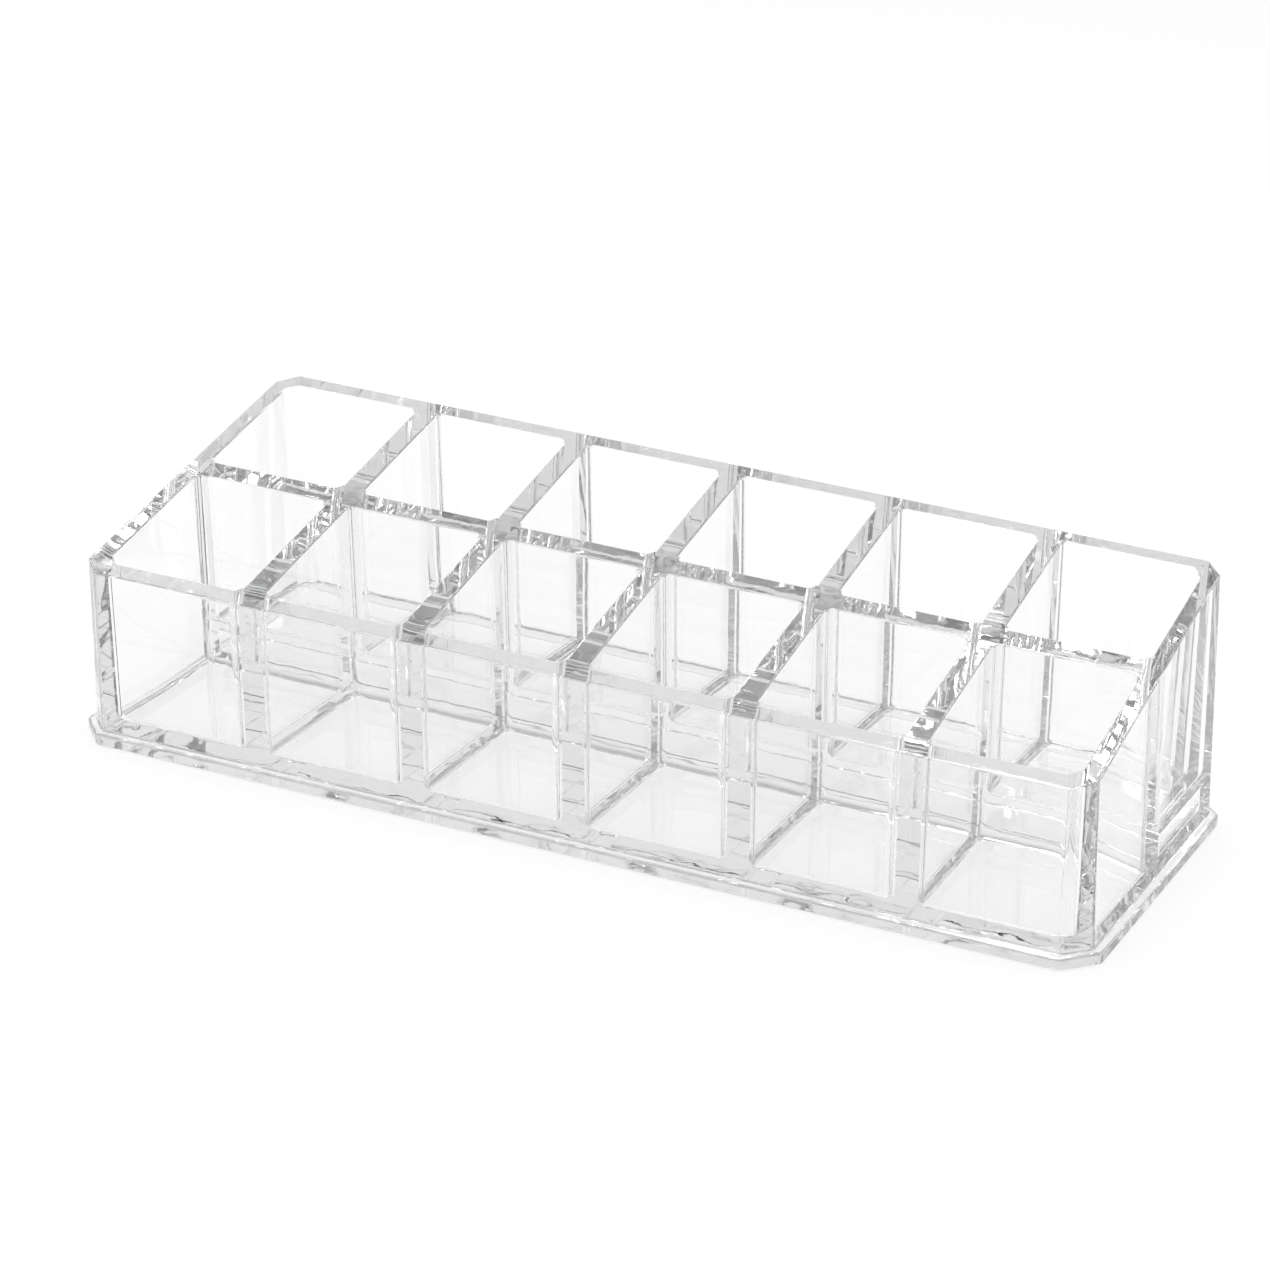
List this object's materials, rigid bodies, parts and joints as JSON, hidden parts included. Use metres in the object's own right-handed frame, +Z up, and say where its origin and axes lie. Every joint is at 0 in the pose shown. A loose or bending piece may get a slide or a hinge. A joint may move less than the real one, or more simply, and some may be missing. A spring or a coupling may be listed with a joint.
{
  "type": "vanity organizer",
  "caption": "Clear plastic vanity organizer: two rows of open wells with a rim sloping to the front, cut corners and a raised rear floor, on a flanged base.",
  "frame": {"origin": "on the table, under the middle of the base", "axes": "+X along the rows, to the right as seen from the front; +Y to the tall rear row; +Z up"},
  "size_m": [0.229, 0.084, 0.0579],
  "materials": {
    "clear_plastic": "clear, polished"
  },
  "bodies": {
    "root": {"base_plate": "clear_plastic", "wall_ring": "clear_plastic", "centre_wall": "clear_plastic", "rear_step": "clear_plastic", "divider_1": "clear_plastic", "divider_2": "clear_plastic", "divider_3": "clear_plastic", "divider_4": "clear_plastic", "divider_5": "clear_plastic"}
  },
  "joints": []
}
